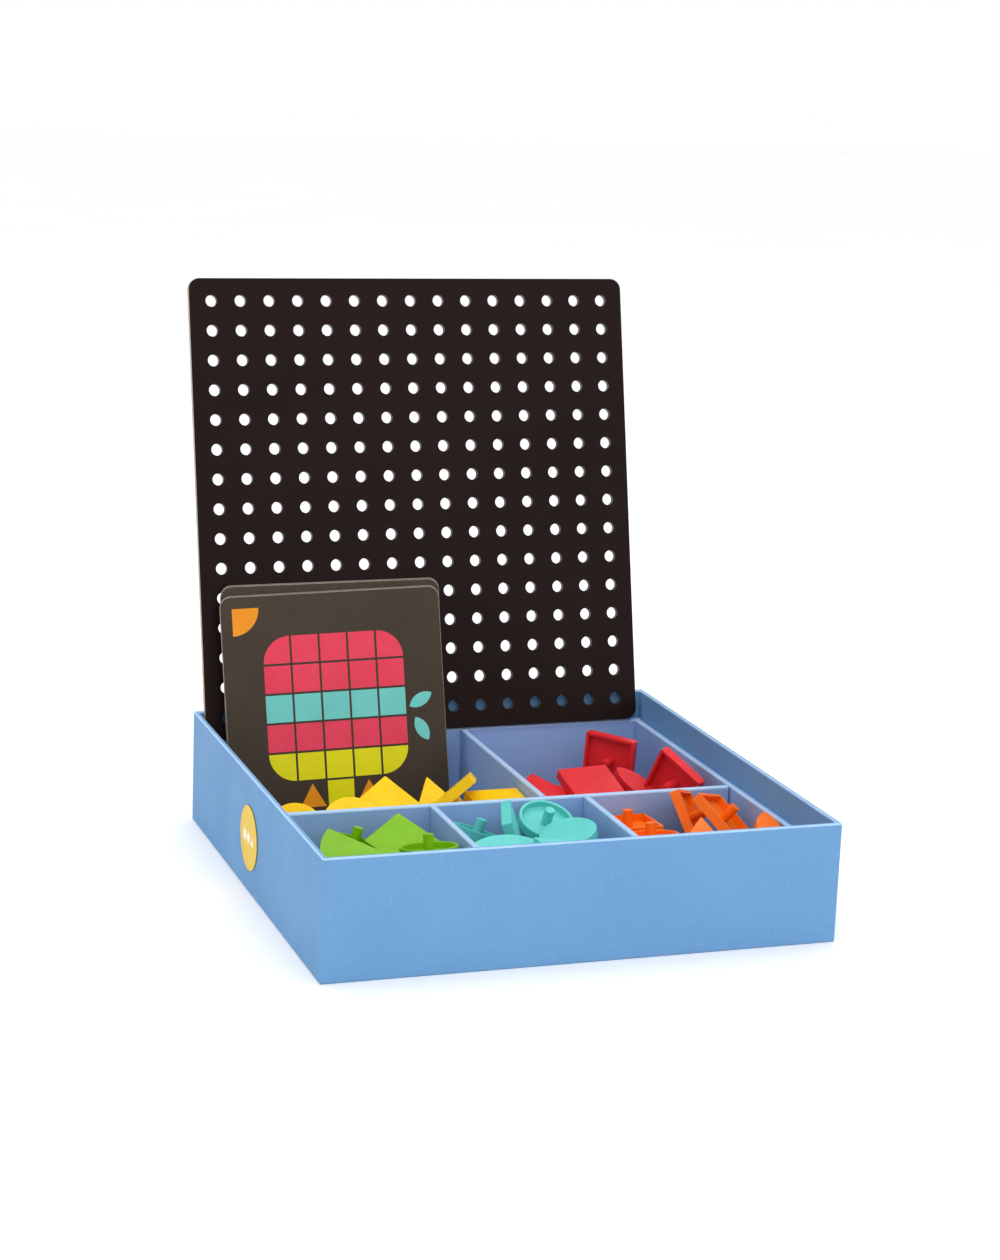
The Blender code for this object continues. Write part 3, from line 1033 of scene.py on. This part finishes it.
@dataclass
class Plate:
    """A leaning rounded rectangle of sheet, found again from its CAD node.

    Args:
        node: The CAD node's name.
        most_roll_deg: How far, either way, the sheet may be turned in its own plane.
        roll_steps: How many turns are tried in each degree.
        size: The sheet's width, length and thickness, as measured.
        place: The matrix from the sheet's own frame to its place, as measured.
    """

    node: str
    most_roll_deg: int = 3
    roll_steps: int = 20
    size: Vector = field(init=False)
    place: Matrix = field(init=False)

    def __post_init__(self) -> None:
        """Measure the sheet: its front is at z = 0, looking along +Z, and Y runs up its slope."""
        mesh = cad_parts[self.node].data
        normal, _ = largest_plane(self.node)
        if normal.y > 0:
            normal = -normal
        level = Vector((0, 0, 1)).cross(normal).normalized()
        best = None
        most = self.most_roll_deg * self.roll_steps
        for step in range(-most, most + 1):
            across = Matrix.Rotation(math.radians(step / self.roll_steps), 3, normal) @ level
            up = normal.cross(across)
            spans = [[vert.co.dot(axis) for vert in mesh.vertices] for axis in (across, up, normal)]
            low = Vector(min(span) for span in spans)
            high = Vector(max(span) for span in spans)
            area = (high.x - low.x) * (high.y - low.y)
            if best is None or area < best[0]:
                best = (area, across, up, low, high)
        _, across, up, low, high = best
        self.size = high - low
        foot = across * (low.x + high.x) / 2 + up * low.y + normal * high.z
        self.place = Matrix.Translation(foot) @ Matrix((across, up, normal)).transposed().to_4x4()

    def sheet(self, corner: float, segments: int) -> BMesh:
        """Return a flat face of the sheet's size with rounded corners, its foot's middle at the origin."""
        shape = bmesh.new()
        bmesh.ops.create_grid(shape, x_segments=1, y_segments=1, size=0.5)
        bmesh.ops.scale(shape, vec=(self.size.x, self.size.y, 1), verts=shape.verts)
        bmesh.ops.translate(shape, vec=(0, self.size.y / 2, 0), verts=shape.verts)
        round_corners(shape, shape.verts, corner, segments)
        return shape


@dataclass
class Pegboard:
    """The drilled fibreboard: painted on its front, darker grey-brown in its holes, raw on its back and
    edges.

    Args:
        holes: Holes along each side.
        pitch: Distance between holes.
        radius: Radius of a hole.
        margin: Distance from the board's edge to the first row of holes.
        corner: Radius of the board's corners.
        easing: Width of the eased edges.
        hole_segments: Straight pieces round each hole.
    """

    holes: int = 15
    pitch: float = 16 * MM
    radius: float = 3.2 * MM
    margin: float = 12.2 * MM
    corner: float = 6 * MM
    easing: float = 0.35 * MM
    hole_segments: int = 28

    def build(self) -> None:
        """Build the board with all its holes."""
        plate = Plate("pegboard")
        shape = plate.sheet(self.corner, 8)
        self.drill(shape)
        thicken(shape, -plate.size.z)
        bmesh.ops.recalc_face_normals(shape, faces=shape.faces)
        bevel(shape, sharp_edges(shape), self.easing, 2)
        self.paint(shape, plate.size)
        bmesh.ops.transform(shape, matrix=plate.place, verts=shape.verts)
        finishes = (BOARD_PAINT, RAW_FIBREBOARD, HOLE_WALL_GREY)
        hand_over(shape, "pegboard_panel", finishes, "board", ["pegboard"])

    def drill(self, shape: BMesh) -> None:
        """Replace the sheet's one face by faces round all the holes."""
        edges = loops_of(shape, shape.faces[:][0])
        first = -(self.holes - 1) * self.pitch / 2
        for column in range(self.holes):
            for row in range(self.holes):
                at = Vector((first + column * self.pitch, self.margin + row * self.pitch, 0))
                edges += add_ring(shape, self.radius, self.hole_segments, at)
        bmesh.ops.triangle_fill(shape, use_beauty=True, edges=edges, normal=(0, 0, 1))

    def paint(self, shape: BMesh, size: Vector) -> None:
        """Give the front the paint, the holes' walls the darker grey-brown and leave the rest raw."""
        reach = Vector((size.x / 2, size.y / 2)) - Vector((self.margin, self.margin)) / 2
        for face in shape.faces:
            centre = face.calc_center_median()
            inward = abs(centre.x) < reach.x and abs(centre.y - size.y / 2) < reach.y
            in_hole = inward and centre.z > self.easing - size.z
            face.material_index = 0 if centre.z > -self.easing else 2 if in_hole else 1


@dataclass
class CardStack:
    """The pattern cards: varnished board with a mosaic picture printed on each.

    Args:
        corner: Radius of a card's corners.
        easing: Width of a card's soft cut edge.
        pitch: Distance between printed cells.
        cell: Side of a printed square.
        relief: Thickness of the print.
        sunk: How deep the print's underside lies in the card.
    """

    corner: float = 6 * MM
    easing: float = 0.3 * MM
    pitch: float = 15.9 * MM
    cell: float = 14.7 * MM
    relief: float = 0.03 * MM
    sunk: float = 0.01 * MM

    def build(self) -> None:
        """Build each card with its own picture."""
        for number, picture in enumerate(Picture, start=1):
            node = f"pattern_card_{number}"
            plate = Plate(node)
            shape = plate.sheet(self.corner, 10)
            thicken(shape, -plate.size.z)
            bmesh.ops.recalc_face_normals(shape, faces=shape.faces)
            eased = set(bevel(shape, sharp_edges(shape), self.easing, 2))
            for face in shape.faces:
                if face in eased or abs(face.normal.z) < 0.5:
                    face.material_index = 1
            self.print_picture(shape, picture, plate)
            bmesh.ops.transform(shape, matrix=plate.place, verts=shape.verts)
            finishes = (CARD_PRINT, CARD_CORE, *INKS.values())
            hand_over(shape, f"{node}_printed", finishes, f"card_{number}", [node])

    def print_picture(self, shape: BMesh, picture: Picture, plate: Plate) -> None:
        """Print a picture's cells on the front of a card.

        Args:
            shape: The card, with its front at z = 0.
            picture: The picture to print.
            plate: The card's measured sheet.
        """
        outline = Outline(self.cell, segments=40)
        rows = [row.split() for row in picture.value]
        left = -(len(rows[0]) - 1) / 2 * self.pitch
        top = plate.size.y / 2 + (len(rows) - 1) / 2 * self.pitch
        letters = list(INKS)
        for down, row in enumerate(rows):
            for along, (kind, colour) in enumerate(row):
                if kind == ".":
                    continue
                at = Vector((left + along * self.pitch, top - down * self.pitch, -self.sunk))
                turn = Matrix.Rotation(math.radians(CELL_TURNS_DEG.get(kind, 0)), 4, "Z")
                index = 2 + letters.index(colour)
                place = Matrix.Translation(at) @ turn
                add_print(shape, outline, CELL_SHAPES.get(kind, Shape.QUARTER), place, self.relief, index)


# ---------------------------------------------------------------- tiles


@dataclass(frozen=True)
class TileMould:
    """The mould of every tile: a thin plate with a wall round its back and one peg.

    Args:
        side: Side of the square tile.
        body: Height of the wall and plate together.
        wall: Thickness of the wall.
        plate: Thickness of the plate.
        peg: Radius of the peg.
        reach: How far the peg stands out past the wall.
    """

    side: float = 29 * MM
    body: float = 5 * MM
    wall: float = 1.6 * MM
    plate: float = 1.6 * MM
    peg: float = 2.6 * MM
    reach: float = 6 * MM

    def cast(self, kind: Shape, detail: Detail) -> BMesh:
        """Return a tile with its face up at z = 0 and its peg pointing down.

        Args:
            kind: The tile's outline.
            detail: How finely it is made.

        Returns:
            The tile's shape.
        """
        make = detail.value
        outline = Outline(
            self.side, segments=make.segments, corner=make.corner, corner_segments=make.corner_segments
        )
        shape = outline.face(kind)
        edges = self.hollow(shape)
        self.add_peg(shape, edges, make.peg_segments)
        bmesh.ops.recalc_face_normals(shape, faces=shape.faces)
        bevel(shape, sharp_edges(shape, make.sharp_deg), make.easing, make.easing_segments)
        return shape

    def hollow(self, shape: BMesh) -> list[BMEdge]:
        """Turn an outline's face into a plate with a wall round its back.

        Args:
            shape: The outline, with one face.

        Returns:
            The edges of the plate's open back.
        """
        grown = bmesh.ops.extrude_face_region(shape, geom=list(shape.faces), use_keep_orig=True)
        lower = [item for item in grown["geom"] if isinstance(item, BMFace)][0]
        bmesh.ops.translate(shape, vec=(0, 0, -self.body), verts=lower.verts)
        bmesh.ops.recalc_face_normals(shape, faces=shape.faces)
        bmesh.ops.inset_region(shape, faces=[lower], thickness=self.wall, use_even_offset=True)
        pushed = bmesh.ops.extrude_discrete_faces(shape, faces=[lower])["faces"][0]
        bmesh.ops.translate(shape, vec=(0, 0, self.body - self.plate), verts=pushed.verts)
        return loops_of(shape, pushed)

    def add_peg(self, shape: BMesh, edges: list[BMEdge], segments: int) -> None:
        """Close the plate's back round a peg.

        Args:
            shape: The hollow tile.
            edges: The edges of the plate's open back.
            segments: Straight pieces round the peg.
        """
        root = add_ring(shape, self.peg, segments, Vector((0, 0, -self.plate)))
        bmesh.ops.triangle_fill(shape, use_beauty=True, edges=edges + root, normal=(0, 0, -1))
        stem = bmesh.ops.extrude_edge_only(shape, edges=root)["geom"]
        tip = [item for item in stem if isinstance(item, BMVert)]
        drop = self.plate - self.body - self.reach
        bmesh.ops.translate(shape, vec=(0, 0, drop), verts=tip)
        rim = [item for item in stem if isinstance(item, BMEdge)]
        bmesh.ops.contextual_create(shape, geom=rim)


@lru_cache(maxsize=None)
def coarse_tile(mould: TileMould, kind: Shape, grow: float) -> tuple[list[Vector], list[list[int]]]:
    """Return a coarse tile as points and faces, in the mould's own frame.

    Args:
        mould: The tile's mould.
        kind: The tile's outline.
        grow: How far its surface is moved out.

    Returns:
        Its points and, for each face, their indices.
    """
    shape = mould.cast(kind, Detail.COVERED)
    for vert in shape.verts:
        vert.normal_update()
    points = [vert.co + vert.normal * grow for vert in shape.verts]
    shape.verts.index_update()
    faces = [[vert.index for vert in face.verts] for face in shape.faces]
    shape.free()
    return points, faces


# Which way an outline's farthest point heads, from the mould's X axis.
HEADING_DEG = {Shape.SQUARE: 45, Shape.QUARTER: 45, Shape.DISC: 0, Shape.LEAF: 90, Shape.TRIANGLE: 90}


@dataclass
class TilePose:
    """Where a tile lies, found again from its CAD node.

    Args:
        node: The CAD node's name.
        mould: The tile's mould; not used.
    """

    node: str
    mould: TileMould

    def kind(self) -> Shape:
        """Return the tile's outline, which its name says."""
        return next(kind for kind in Shape if f"_{kind.value}" in self.node)

    def place(self) -> Matrix:
        """Return the matrix from the mould's frame to the tile's place."""
        normal, offset = largest_plane(self.node)
        points = [vert.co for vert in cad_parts[self.node].data.vertices]
        deepest = min(point.dot(normal) for point in points)
        tip = [point for point in points if point.dot(normal) < deepest + ON_PLANE]
        axis = sum(tip, Vector()) / len(tip)
        origin = axis + normal * (offset - axis.dot(normal))
        rim = [point - origin for point in points if abs(point.dot(normal) - offset) < ON_PLANE]
        radius = max(point.length for point in rim)
        far = [point for point in rim if point.length > radius - ON_PLANE]
        kind = self.kind()
        heading = sum(far, Vector()) if kind is Shape.QUARTER else far[0]
        back = Matrix.Rotation(math.radians(-HEADING_DEG[kind]), 3, normal)
        across = back @ heading.normalized()
        across = (across - normal * across.dot(normal)).normalized()
        turn = Matrix((across, normal.cross(across), normal)).transposed()
        return Matrix.Translation(origin) @ turn.to_4x4()


@dataclass
class Solids:
    """The surfaces in a compartment that a covered tile may not pass through.

    Args:
        points: The surfaces' points.
        faces: The indices of each face's points.
    """

    points: list[Vector] = field(default_factory=list)
    faces: list[list[int]] = field(default_factory=list)

    def add(self, points: Sequence[Vector], faces: Sequence[Sequence[int]]) -> None:
        """Add one closed surface."""
        start = len(self.points)
        self.points += points
        self.faces += [[start + index for index in face] for face in faces]

    def tree(self) -> BVHTree:
        """Return the surfaces as a search tree."""
        return BVHTree.FromPolygons(self.points, self.faces)


@dataclass
class Compartment:
    """One colour's tiles: those on top, each on its own body, and the heap that they cover.

    Args:
        colour: The tiles' colour and the prefix of their CAD nodes.
        seed: Seed of the covered tiles' places.
        tries: How many places are tried for covered tiles.
        weights: How often each outline is tried, in the order of Shape.
        upturned: Share of the tries that lie on their face.
        tilt_deg: Spread of a covered tile's tilt.
        rise: How far a covered tile may stand above the CAD heap's top.
        gap: Clearance between tiles.
        mould: The tiles' mould.
        solids: What a covered tile can lie on.
    """

    colour: str
    seed: int
    tries: int = 420
    weights: tuple[int, ...] = (5, 3, 3, 3, 3)
    upturned: float = 0.45
    tilt_deg: float = 22.0
    rise: float = 2.5 * MM
    gap: float = 0.25 * MM
    mould: TileMould = field(default_factory=TileMould)
    solids: Solids = field(default_factory=Solids)

    def build(self) -> None:
        """Build the tiles on top and then the covered ones."""
        own = [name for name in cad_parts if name.startswith(f"{self.colour}_")]
        for node in sorted(name for name in own if not name.endswith("_heap")):
            pose = TilePose(node, self.mould)
            shape = self.mould.cast(pose.kind(), Detail.SHOWN)
            place = pose.place()
            bmesh.ops.transform(shape, matrix=place, verts=shape.verts)
            finish = PLASTICS[self.colour]
            hand_over(shape, f"{node}_tile", (finish,), f"{node}_body", [node])
            self.solids.add(*self.hull(pose.kind(), place))
        self.fill_heap()

    def hull(self, kind: Shape, place: Matrix, grow: float = 0.0) -> tuple[list[Vector], list[list[int]]]:
        """Return a coarse copy of a tile as points and faces.

        Args:
            kind: The tile's outline.
            place: Where the tile lies.
            grow: How far its surface is moved out.

        Returns:
            Its points and, for each face, their indices.
        """
        points, faces = coarse_tile(self.mould, kind, grow)
        return [place @ point for point in points], faces

    def fill_heap(self) -> None:
        """Drop covered tiles one by one into the space that the CAD heap takes up."""
        chance = random.Random(self.seed)
        node = f"{self.colour}_tile_heap"
        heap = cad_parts[node].data
        points = [vert.co.copy() for vert in heap.vertices]
        ceiling = BVHTree.FromPolygons(points, [list(face.vertices) for face in heap.polygons])
        low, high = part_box(node)
        whole = bmesh.new()
        laid = 0
        tree = self.solids.tree()
        for _ in range(self.tries):
            kind = chance.choices(list(Shape), self.weights)[0]
            turn = self.tumble(chance)
            aim = Vector((chance.uniform(low.x, high.x), chance.uniform(low.y, high.y), 0))
            place = self.resting_place(kind, turn, aim, ceiling, tree, low, high)
            if place is None:
                continue
            self.solids.add(*self.hull(kind, place))
            tree = self.solids.tree()
            tile = self.mould.cast(kind, Detail.COVERED)
            bmesh.ops.transform(tile, matrix=place, verts=tile.verts)
            add_part(whole, tile)
            laid += 1
        LOG.info("%s: %d covered tiles", self.colour, laid)
        name = f"{self.colour}_covered_tiles"
        hand_over(whole, name, (PLASTICS[self.colour],), "tray", [node])

    def tumble(self, chance: random.Random) -> Matrix:
        """Return how the next covered tile is turned: spun on its peg, perhaps upturned, and tilted."""
        spin = Matrix.Rotation(chance.uniform(0, math.tau), 4, "Z")
        flip = math.pi if chance.random() < self.upturned else 0.0
        tilt = Matrix.Rotation(flip + math.radians(chance.gauss(0, self.tilt_deg)), 4, "X")
        return Matrix.Rotation(chance.uniform(0, math.tau), 4, "Z") @ tilt @ spin

    def resting_place(
        self,
        kind: Shape,
        turn: Matrix,
        aim: Vector,
        ceiling: BVHTree,
        tree: BVHTree,
        low: Vector,
        high: Vector,
    ) -> Optional[Matrix]:
        """Find where a turned tile comes to rest.

        Args:
            kind: The tile's outline.
            turn: How it is turned.
            aim: Where it is dropped, in plan.
            ceiling: The top of the CAD heap, which it starts from.
            tree: What it can rest on.
            low: The heap's lowest corner.
            high: The heap's highest corner.

        Returns:
            The tile's place, or None if there is no room.
        """
        points, faces = self.hull(kind, turn, self.gap)
        inside = self.pushed_in(points, aim, low, high)
        above = Vector((inside.x, inside.y, high.z + 10 * MM))
        hit = ceiling.ray_cast(above, Vector((0, 0, -1)))[0]
        top = (hit.z if hit is not None else high.z) + self.rise
        tallest = max(point.z for point in points)
        lowest = min(point.z for point in points)
        height = self.lowered(points, faces, inside, top - tallest, low.z - lowest, tree)
        if height is None:
            return None
        return Matrix.Translation((inside.x, inside.y, height)) @ turn

    @staticmethod
    def pushed_in(points: Sequence[Vector], at: Vector, low: Vector, high: Vector) -> Vector:
        """Return the place nearest to the asked one at which a tile is inside the walls."""
        moved = at.copy()
        for axis in (0, 1):
            reach = [point[axis] for point in points]
            moved[axis] = min(max(at[axis], low[axis] - min(reach)), high[axis] - max(reach))
        return moved

    @staticmethod
    def lowered(
        points: Sequence[Vector],
        faces: Sequence[Sequence[int]],
        at: Vector,
        start: float,
        floor: float,
        tree: BVHTree,
    ) -> Optional[float]:
        """Lower a tile from a height until it rests.

        Args:
            points: The tile's points round its own origin.
            faces: The tile's faces.
            at: Where its origin stands in plan.
            start: The height that it starts from.
            floor: The lowest height it can reach.
            tree: What it can rest on.

        Returns:
            The height at which it rests, or None if there is no room.
        """
        if start < floor:
            return None

        def touches(height: float) -> bool:
            """Return whether the tile meets anything at a height."""
            moved = [Vector((point.x + at.x, point.y + at.y, point.z + height)) for point in points]
            return bool(BVHTree.FromPolygons(moved, faces).overlap(tree))

        if touches(start):
            return None
        height, step, finest = start, 2 * MM, 0.2 * MM
        while step > finest:
            if height - step >= floor and not touches(height - step):
                height -= step
            else:
                step /= 2
        return height


# ---------------------------------------------------------------- studio


@dataclass
class Studio:
    """The white table, soft lights and camera.

    Args:
        lens: Focal length in millimetres, for a frame that is sensor_height high.
        sensor_height: Height of the camera's frame in millimetres.
        eye: The camera's place.
        turn_deg: The camera's Euler angles.
        backdrop: Brightness of the white surroundings.
        aim: The point that the lights look at.
        table_reach: Half the table's side.
    """

    lens: float = 79.19
    sensor_height: float = 36.0
    eye: tuple[float, float, float] = (-0.45912, -1.28099, 0.45290)
    turn_deg: tuple[float, float, float] = (76.671, -2.240, -19.058)
    backdrop: float = 1.0
    aim: tuple[float, float, float] = (0, 0.05, 0.08)
    table_reach: float = 6.0

    def build(self) -> None:
        """Build the table, lights, surroundings and camera."""
        bpy.context.scene.view_settings.view_transform = "Standard"
        self.table()
        self.light("key_softbox", (-0.4, -1.1, 1.6), 0.9, 7.5)
        self.light("fill_softbox", (1.2, -1.3, 0.9), 1.2, 2.5)
        self.light("top_softbox", (0.1, 0.5, 1.7), 1.1, 6.0)
        self.surroundings()
        self.camera()

    def surroundings(self) -> None:
        """Light the scene from all round with an even white."""
        world = bpy.data.worlds.new("white_surroundings")
        world.use_nodes = True
        sky = world.node_tree.nodes["Background"]
        sky.inputs["Color"].default_value = linear("#FFFFFF")
        sky.inputs["Strength"].default_value = self.backdrop
        bpy.context.scene.world = world

    def camera(self) -> None:
        """Add the camera and look through it."""
        data = bpy.data.cameras.new("camera")
        data.sensor_fit = "VERTICAL"
        data.sensor_height = self.sensor_height
        data.lens = self.lens
        camera = bpy.data.objects.new("camera", data)
        camera.location = self.eye
        camera.rotation_euler = [math.radians(angle) for angle in self.turn_deg]
        bpy.context.scene.collection.objects.link(camera)
        bpy.context.scene.camera = camera

    def table(self) -> None:
        """Add the table top."""
        shape = bmesh.new()
        bmesh.ops.create_grid(shape, x_segments=1, y_segments=1, size=self.table_reach)
        mesh = bpy.data.meshes.new("table_top")
        shape.to_mesh(mesh)
        shape.free()
        mesh.materials.append(TABLE_TOP.material())
        floor = bpy.data.objects.new("table_top", mesh)
        bpy.context.scene.collection.objects.link(floor)

    def light(self, name: str, place: tuple[float, float, float], size: float, power: float) -> None:
        """Add a square softbox that looks at the middle of the set."""
        data = bpy.data.lights.new(name, "AREA")
        data.shape = "SQUARE"
        data.size = size
        data.energy = power
        lamp = bpy.data.objects.new(name, data)
        lamp.location = place
        view = Vector(self.aim) - Vector(place)
        lamp.rotation_euler = view.to_track_quat("-Z", "Y").to_euler()
        bpy.context.scene.collection.objects.link(lamp)


def main() -> None:
    """Build every sub-assembly in order."""
    logging.basicConfig(level=logging.INFO, format="%(name)s: %(message)s")
    Tray().build()
    Insert().build()
    Sticker().build()
    Pegboard().build()
    CardStack().build()
    for seed, colour in enumerate(PLASTICS, start=11):
        Compartment(colour, seed).build()
    Studio().build()


if __name__ == "__main__":
    main()
